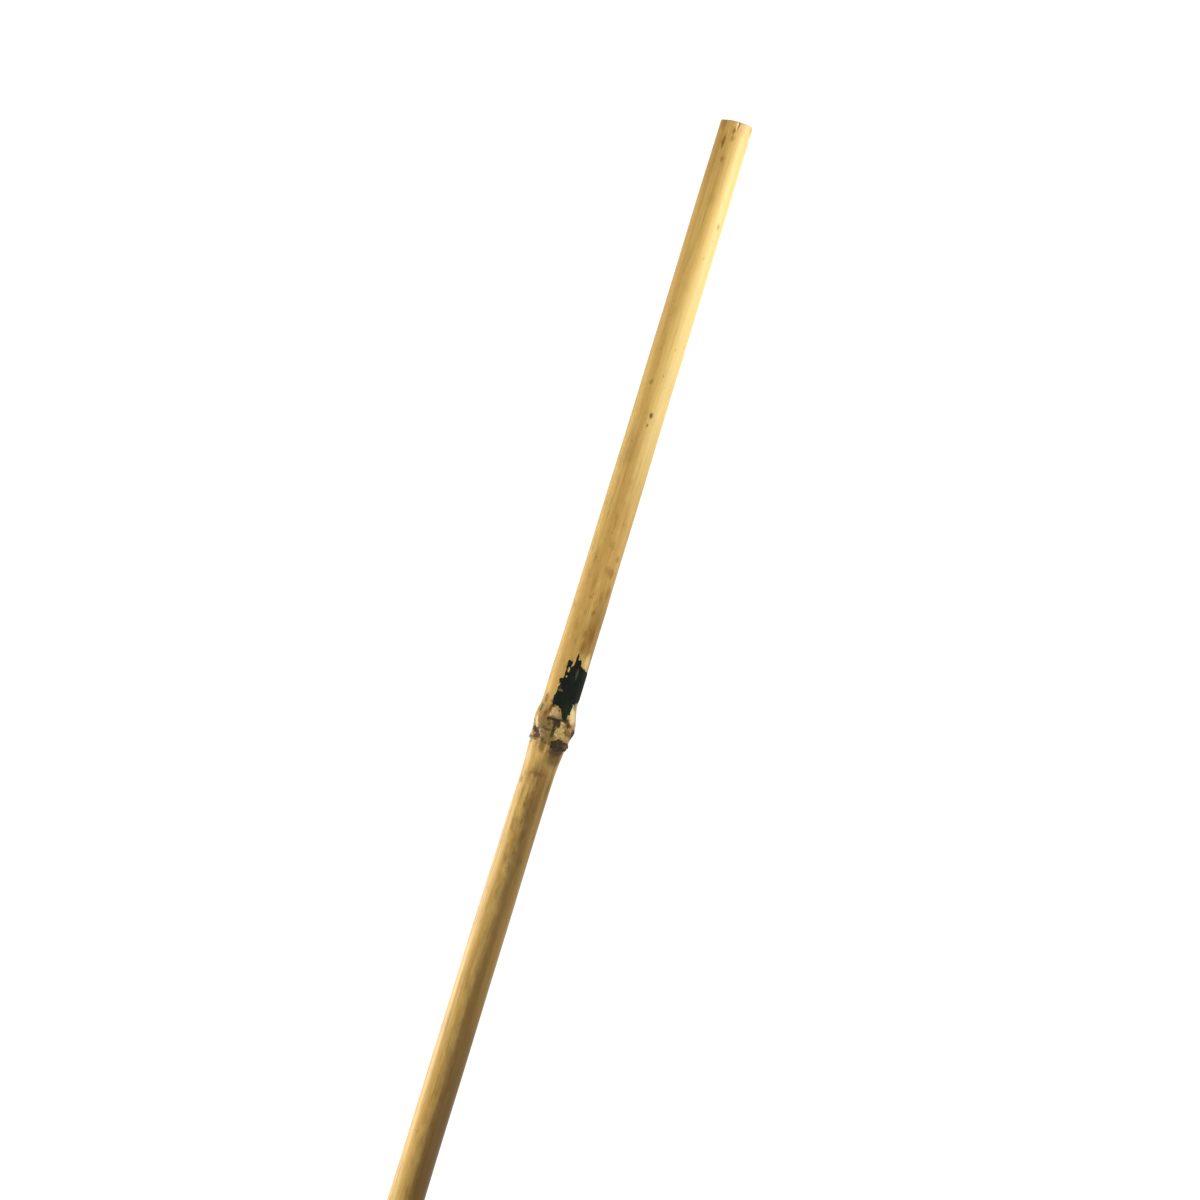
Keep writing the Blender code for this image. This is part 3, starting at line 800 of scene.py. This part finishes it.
class Graph:
    """Adds nodes to one material. Each method returns the new node's output."""

    def __init__(self, name):
        self.material = bpy.data.materials.new(name)
        self.material.use_nodes = True
        self.tree = self.material.node_tree
        self.shader = self.tree.nodes["Principled BSDF"]
        coordinates = self.tree.nodes.new("ShaderNodeTexCoord").outputs["Object"]
        self.place = self.vector("MULTIPLY", coordinates, (1 / MM,) * 3)

    def node(self, kind, sockets, **settings):
        made = self.tree.nodes.new(kind)
        for key, value in settings.items():
            setattr(made, key, value)
        for key, value in sockets.items():
            if isinstance(value, bpy.types.NodeSocket):
                self.tree.links.new(value, made.inputs[key])
            else:
                made.inputs[key].default_value = value
        return made

    def feed(self, socket, value):
        if isinstance(value, bpy.types.NodeSocket):
            self.tree.links.new(value, self.shader.inputs[socket])
        else:
            self.shader.inputs[socket].default_value = value

    def math(self, operation, one, two=0.0, clamp=False):
        return self.node("ShaderNodeMath", {0: one, 1: two}, operation=operation, use_clamp=clamp).outputs[0]

    def vector(self, operation, one, two=(0.0, 0.0, 0.0)):
        made = self.node("ShaderNodeVectorMath", {0: one, 1: two}, operation=operation)
        return made.outputs["Value" if operation == "LENGTH" else "Vector"]

    def noise(self, scale, detail=3.0, roughness=0.55, output="Fac"):
        """scale is (across, across, along) per millimetre."""
        place = self.vector("MULTIPLY", self.place, scale)
        sockets = {"Vector": place, "Scale": 1.0, "Detail": detail, "Roughness": roughness}
        return self.node("ShaderNodeTexNoise", sockets).outputs[output]

    def between(self, value, low, high, to_low=0.0, to_high=1.0):
        sockets = {"Value": value, "From Min": low, "From Max": high, "To Min": to_low, "To Max": to_high}
        made = self.node("ShaderNodeMapRange", sockets, interpolation_type="SMOOTHSTEP")
        return made.outputs["Result"]

    def mix(self, share, one, two):
        sockets = {0: share, 6: one, 7: two}
        return self.node("ShaderNodeMix", sockets, data_type="RGBA").outputs[2]

    def unrolled(self):
        """(distance round the cane from the front, height above the scar, 0) in millimetres."""
        split = self.node("ShaderNodeSeparateXYZ", {0: self.place}).outputs
        back = self.math("MULTIPLY", split["Y"], -1.0)
        turn = self.math("ARCTAN2", split["X"], back)
        arc = self.math("MULTIPLY", turn, ARC_RADIUS)
        above = self.math("SUBTRACT", split["Z"], NODE)
        return self.node("ShaderNodeCombineXYZ", {0: arc, 1: above}).outputs[0]

    def warped(self, place, scale, reach):
        """The place pushed about by noise, so that spots laid out in it have ragged edges."""
        push = self.noise(scale, detail=3.0, output="Color")
        push = self.vector("SUBTRACT", push, (0.5, 0.5, 0.5))
        push = self.vector("MULTIPLY", push, reach)
        return self.vector("ADD", place, push)

    def spot(self, place, turn, above, half_width, half_height, softness):
        """1 inside an oval on the unrolled cane, fading to 0 outside it."""
        centre = (math.radians(turn) * ARC_RADIUS, above, 0.0)
        sockets = {"Vector": place, "Location": centre, "Scale": (half_width, half_height, 1.0)}
        local = self.node("ShaderNodeMapping", sockets, vector_type="TEXTURE").outputs[0]
        away = self.vector("LENGTH", local)
        return self.between(away, 1.0 + softness, 1.0 - softness)

    def bump(self, height, strength, distance, under=None):
        sockets = {"Strength": strength, "Distance": distance, "Height": height}
        if under:
            sockets["Normal"] = under
        return self.node("ShaderNodeBump", sockets).outputs[0]


def marked(graph, base, marks):
    """Lays marks, stains and painted shade, over a base colour. Returns the colour and how strongly each
    place is marked.
    """
    broad = graph.warped(graph.unrolled(), (0.45, 0.45, 0.16), (2.4, 4.2, 0.0))
    fine = graph.warped(graph.unrolled(), (1.1, 1.1, 0.6), (1.6, 2.4, 0.0))
    stain_and_shade = 0.0
    for turn, centre, half_width, half_height, softness, strength, tint in marks:
        laid = broad if half_width > 2.5 else fine
        mask = graph.spot(laid, turn, centre, half_width, half_height, softness)
        mask = graph.math("MULTIPLY", mask, strength)
        base = graph.mix(mask, base, tint)
        stain_and_shade = graph.math("MAXIMUM", stain_and_shade, mask)
    return base, stain_and_shade


def skin_material(name, low, high):
    """Bamboo skin between two heights above the scar, with the stains and painted shade that reach that
    stretch. Its colour also holds painted light on the upper right side and painted shade on the right side.
    """
    graph = Graph(name)
    place = graph.node("ShaderNodeSeparateXYZ", {0: graph.place}).outputs
    side = place["X"]
    above = graph.math("SUBTRACT", place["Z"], NODE)

    broad = graph.noise((0.30, 0.30, 0.010), detail=3.0)
    streaks = graph.noise((1.1, 1.1, 0.018), detail=4.0, roughness=0.65)
    fibres = graph.noise((4.5, 4.5, 0.06), detail=2.0, roughness=0.6)
    blotches = graph.noise((0.10, 0.10, 0.035), detail=4.0, roughness=0.6)
    mottle = graph.noise((0.34, 0.34, 0.13), detail=4.0, roughness=0.65)

    # The mottling is strongest about the paint and weaker towards both ends.
    away = graph.math("ABSOLUTE", graph.math("SUBTRACT", above, MOTTLE_MIDDLE))
    lively = graph.between(away, *MOTTLE_FADE, 0.35, 1.0)
    dull_spots = graph.math("MULTIPLY", graph.between(mottle, 0.54, 0.68, 0.0, 0.4), lively)
    pale_spots = graph.math("MULTIPLY", graph.between(mottle, 0.44, 0.32, 0.0, 0.2), lively)

    base = graph.mix(graph.between(broad, 0.35, 0.65), STRAW, TAN)
    base = graph.mix(graph.between(streaks, 0.5, 0.72, 0.0, 0.45), base, BROWN)
    base = graph.mix(graph.between(blotches, 0.52, 0.72, 0.0, 0.35), base, FIBRE_BROWN)
    base = graph.mix(dull_spots, base, BROWN)
    base = graph.mix(pale_spots, base, PALE)
    base = graph.mix(graph.between(fibres, 0.52, 0.75, 0.0, 0.35), base, FIBRE_BROWN)
    base = graph.mix(graph.between(fibres, 0.45, 0.25, 0.0, 0.25), base, PALE)

    # Painted light: the right side is made paler towards the top, as if lit from the right.
    lit_side = graph.math("MULTIPLY", graph.between(side, -2.0, 5.0), graph.between(above, *LIT_SIDE_RISE))
    base = graph.mix(graph.math("MULTIPLY", lit_side, 0.6), base, PALE)

    # The painted shade below thins out unevenly round the back.
    backward = graph.math("ADD", place["Y"], graph.math("MULTIPLY", broad, 6.0))
    forward = graph.between(backward, 10.5, -1.0)

    # Painted shade: the right side below the node is darkened to brown, as in shade, with an uneven
    # border, less so on its far right near the node, and more deeply towards the bottom.
    wander = graph.math("MULTIPLY", graph.between(mottle, 0.3, 0.7, -2.0, 2.0), lively)
    uneven = graph.math("ADD", side, wander)
    side_shade = graph.math("MULTIPLY", graph.between(uneven, -6.5, 2.5), graph.between(above, *SIDE_SHADING))
    side_shade = graph.math("MULTIPLY", side_shade, forward)
    far_right = graph.between(side, 1.5, 6.0)
    spared = graph.math("MULTIPLY", far_right, graph.between(above, *SIDE_SHADE_SPARING))
    side_shade = graph.math("MULTIPLY", side_shade, graph.between(spared, 0.0, 1.0, 1.0, 0.72))
    depth = graph.between(above, *SIDE_SHADE_DEEPENING, 0.72, 0.90)
    base = graph.mix(graph.math("MULTIPLY", side_shade, depth), base, SIDE_SHADE_BROWN)

    # Painted shade: the right side above the paint is darkened towards brown.
    upper_shade = graph.math(
        "MULTIPLY", graph.between(above, *UPPER_SHADE_TOP), graph.between(above, *UPPER_SHADE_BOTTOM)
    )
    upper_shade = graph.math("MULTIPLY", graph.between(side, 0.0, 5.0), upper_shade)
    upper_shade = graph.math("MULTIPLY", upper_shade, forward)
    base = graph.mix(graph.math("MULTIPLY", upper_shade, 0.6), base, BRACKEN)

    marks = [mark for mark in STAINS_AND_SHADE if low - 12 < mark[1] < high + 12 or mark[3] > 8]
    base, stain_and_shade = marked(graph, base, marks)

    # Specks of mould, longer than they are wide.
    spread = graph.vector("MULTIPLY", graph.place, (0.55, 0.55, 0.16))
    cells = graph.node("ShaderNodeTexVoronoi", {"Vector": spread, "Scale": 1.0})
    small = graph.between(cells.outputs["Distance"], 0.16, 0.07)
    drawn = graph.node("ShaderNodeSeparateColor", {0: cells.outputs["Color"]}).outputs[0]
    chosen = graph.between(drawn, 0.86, 0.9)
    specks = graph.math("MULTIPLY", graph.math("MULTIPLY", small, chosen), 0.55)
    base = graph.mix(specks, base, DARK_BROWN)

    graph.feed("Base Color", base)
    gloss = graph.between(streaks, 0.3, 0.7, 0.42, 0.54)
    gloss = graph.math("ADD", gloss, graph.math("MULTIPLY", stain_and_shade, 0.25), clamp=True)
    graph.feed("Roughness", gloss)
    graph.feed("Specular IOR Level", 0.22)
    lines = graph.bump(fibres, 0.35, 0.00012)
    graph.feed("Normal", graph.bump(streaks, 0.3, 0.0003, lines))
    return graph.material


def cut_material(name):
    """End grain: pale pith with the dark dots of the fibre bundles, crowded towards the skin."""
    graph = Graph(name)
    split = graph.node("ShaderNodeSeparateXYZ", {0: graph.place}).outputs
    flat = graph.node("ShaderNodeCombineXYZ", {0: split["X"], 1: split["Y"]}).outputs[0]
    radius = graph.vector("LENGTH", flat)
    dots = graph.node("ShaderNodeTexVoronoi", {"Vector": graph.place, "Scale": 2.2}).outputs["Distance"]
    small = graph.node("ShaderNodeTexVoronoi", {"Vector": graph.place, "Scale": 4.2}).outputs["Distance"]
    outward = graph.between(radius, 5.6, 7.6)
    pith = graph.mix(outward, PITH, PITH_NEAR_SKIN)
    mottle = graph.noise((0.7, 0.7, 0.7), detail=4.0)
    pith = graph.mix(graph.between(mottle, 0.4, 0.7, 0.0, 0.5), pith, PITH_DULL)
    bundle = graph.between(dots, 0.34, 0.22, 0.0, 0.75)
    pith = graph.mix(bundle, pith, UMBER)
    fine = graph.math("MULTIPLY", graph.between(small, 0.36, 0.24, 0.0, 0.7), outward)
    pith = graph.mix(fine, pith, DARK_BROWN)
    graph.feed("Base Color", pith)
    graph.feed("Roughness", graph.between(mottle, 0.3, 0.7, 0.7, 0.9))
    saw = graph.noise((0.4, 3.0, 0.4), detail=3.0)
    graph.feed("Normal", graph.bump(saw, 0.5, 0.0003, graph.bump(dots, 0.5, 0.0002)))
    return graph.material


def bore_material(name):
    graph = Graph(name)
    streaks = graph.noise((0.8, 0.8, 0.03), detail=4.0)
    tint = graph.mix(graph.between(streaks, 0.35, 0.65), BORE_LIGHT, BORE_DARK)
    graph.feed("Base Color", tint)
    graph.feed("Roughness", graph.between(streaks, 0.3, 0.7, 0.75, 0.9))
    graph.feed("Normal", graph.bump(streaks, 0.5, 0.0004))
    return graph.material


def fibrous_material(name, light, middle, dark, cell_scale, crevice, marks=()):
    """Torn or cut fibre: pale strands with dark crevices between them, the crevices painted shade."""
    graph = Graph(name)
    stretched = graph.vector("MULTIPLY", graph.place, (1.0, 1.0, 0.5))
    cells = graph.node(
        "ShaderNodeTexVoronoi", {"Vector": stretched, "Scale": cell_scale}, feature="DISTANCE_TO_EDGE"
    ).outputs["Distance"]
    patches = graph.noise((0.55, 0.55, 0.4), detail=4.0, roughness=0.6)
    strands = graph.noise((2.6, 2.6, 0.5), detail=3.0, roughness=0.6)
    tint = graph.mix(graph.between(patches, 0.38, 0.62), light, middle)
    tint, _ = marked(graph, tint, marks)
    tint = graph.mix(graph.between(strands, 0.5, 0.75, 0.0, 0.4), tint, dark)
    # Painted shade: the crevices between the strands are darkened.
    tint = graph.mix(graph.between(cells, crevice, 0.0, 0.0, 0.6), tint, dark)
    graph.feed("Base Color", tint)
    graph.feed("Roughness", graph.between(patches, 0.3, 0.7, 0.7, 0.92))
    graph.feed("Specular IOR Level", 0.2)
    graph.feed("Normal", graph.bump(cells, 0.6, 0.0004, graph.bump(strands, 0.5, 0.0003)))
    return graph.material


def paint_material(name):
    """Dried near-black green paint, brushed thin in places."""
    graph = Graph(name)
    brush = graph.noise((2.4, 2.4, 0.10), detail=3.0, roughness=0.6)
    cloud = graph.noise((0.35, 0.35, 0.22), detail=3.0)
    tint = graph.mix(graph.between(cloud, 0.42, 0.62), GREEN_BLACK, PAINT_SHADE)
    tint = graph.mix(graph.between(cloud, 0.38, 0.26, 0.0, 0.6), tint, GREEN_EDGE)
    tint = graph.mix(graph.between(brush, 0.66, 0.8, 0.0, 0.4), tint, PAINT_WORN)
    tint, _ = marked(graph, tint, PAINT_MARKS)
    graph.feed("Base Color", tint)
    graph.feed("Roughness", graph.between(brush, 0.3, 0.7, 0.55, 0.8))
    graph.feed("Specular IOR Level", 0.12)
    graph.feed("Normal", graph.bump(brush, 0.4, 0.0003))
    return graph.material


# ---------------------------------------------------------------- stage, lights and camera


def aimed(obj, target):
    obj.rotation_mode = "QUATERNION"
    obj.rotation_quaternion = (Vector(target) - obj.location).to_track_quat("-Z", "Y")


def area_light(name, place, target, size, power, spread=180.0):
    light = bpy.data.lights.new(name, "AREA")
    light.shape = "RECTANGLE"
    light.size, light.size_y = size
    light.energy = power
    light.spread = math.radians(spread)
    obj = bpy.data.objects.new(name, light)
    bpy.context.scene.collection.objects.link(obj)
    obj.location = place
    aimed(obj, target)


def floor():
    mesh = bpy.data.meshes.new("floor")
    disc = bmesh.new()
    bmesh.ops.create_circle(disc, cap_ends=True, segments=96, radius=FLOOR_RADIUS)
    disc.to_mesh(mesh)
    disc.free()
    obj = bpy.data.objects.new("floor", mesh)
    bpy.context.scene.collection.objects.link(obj)
    obj.location.z = -FLOOR_DROP
    graph = Graph("pale_floor")
    shade = graph.noise((0.004, 0.004, 0.004), detail=2.0)
    graph.feed("Base Color", graph.mix(shade, (0.93, 0.93, 0.93, 1.0), (0.96, 0.96, 0.96, 1.0)))
    graph.feed("Roughness", graph.between(shade, 0.3, 0.7, 0.8, 0.9))
    mesh.materials.append(graph.material)


def world():
    made = bpy.data.worlds.new("white_surround")
    made.use_nodes = True
    background = made.node_tree.nodes["Background"]
    background.inputs["Color"].default_value = (1.0, 1.0, 1.0, 1.0)
    background.inputs["Strength"].default_value = SURROUND_STRENGTH
    bpy.context.scene.world = made


def lights():
    area_light(
        "window_right", place=(0.62, -0.20, 0.68), target=(0.0, 0.0, 0.59), size=(0.45, 0.18),
        power=0.38, spread=36.0,
    )
    area_light(
        "window_left", place=(-0.50, 0.20, 0.02), target=(0.0, 0.0, 0.02), size=(0.30, 0.50),
        power=5.2,
    )


def camera():
    data = bpy.data.cameras.new("camera")
    data.sensor_width = SENSOR
    data.lens = SENSOR * VIEW_DISTANCE / VIEW_SPAN
    obj = bpy.data.objects.new("camera", data)
    bpy.context.scene.collection.objects.link(obj)
    obj.location = VIEW_CENTRE - Vector((0.0, VIEW_DISTANCE, 0.0))
    obj.rotation_mode = "XYZ"
    obj.rotation_euler = (math.pi / 2, -VIEW_ROLL, 0.0)
    bpy.context.scene.camera = obj


def main():
    noise.seed_set(NOISE_SEED)
    cut, bore = cut_material("end_grain"), bore_material("bore_wall")
    lower_cane([skin_material("skin_lower", -NODE, COLLAR_ABOVE), cut, bore])
    node_ridge([skin_material("skin_node", COLLAR_ABOVE, RIDGE_TOP_ABOVE), cut, bore])
    upper_cane([skin_material("skin_upper", RIDGE_TOP_ABOVE, LENGTH - NODE), cut, bore])

    scar_fibre = fibrous_material(
        "scar_fibre", TAN, UMBER, DARK_BROWN, cell_scale=0.9, crevice=0.08, marks=SCAR_MARKS
    )
    scar_ring([scar_fibre])
    cut_fibre = fibrous_material(
        "cut_fibre", CREAM, STUB_MIDDLE, OLIVE, cell_scale=0.55, crevice=0.06, marks=STUB_MARKS
    )
    mound(
        "main_branch_base", MAIN_STUB_OUTLINE, rise=1.2, reach=0.8, cells=0.65, depth=1.0,
        materials=[cut_fibre], node="main_branch_stub", slot="cut_fibre",
    )
    grey = fibrous_material(
        "weathered_fibre", GREY_PINK, SIDE_STUB_MIDDLE, UMBER, cell_scale=0.6, crevice=0.05,
        marks=SIDE_STUB_MARKS,
    )
    mound(
        "side_branch_base", SIDE_STUB_OUTLINE, rise=1.0, reach=0.9, cells=0.9, depth=0.7,
        materials=[grey], node="side_branch_stub", slot="weathered_fibre",
    )
    bud = fibrous_material(
        "bud_tissue", PINK_CREAM, BUD_MIDDLE, UMBER, cell_scale=0.6, crevice=0.04, marks=BUD_MARKS
    )
    mound(
        "bud_mound", BUD_OUTLINE, rise=1.3, reach=1.6, cells=0.4, depth=0.6,
        materials=[bud], node="bud_scale", slot="bud_tissue",
    )
    flake = fibrous_material(
        "dried_sheath", SHEATH_LIGHT, SHEATH_MIDDLE, SHEATH_DARK, cell_scale=0.5, crevice=0.05,
        marks=FLAKE_MARKS,
    )
    sheath_flake([flake])
    paint([paint_material("green_black_paint")])
    diaphragm([bore])

    floor()
    world()
    lights()
    camera()
    bpy.context.scene.view_settings.view_transform = "Standard"


main()
bpy.context.view_layer.update()
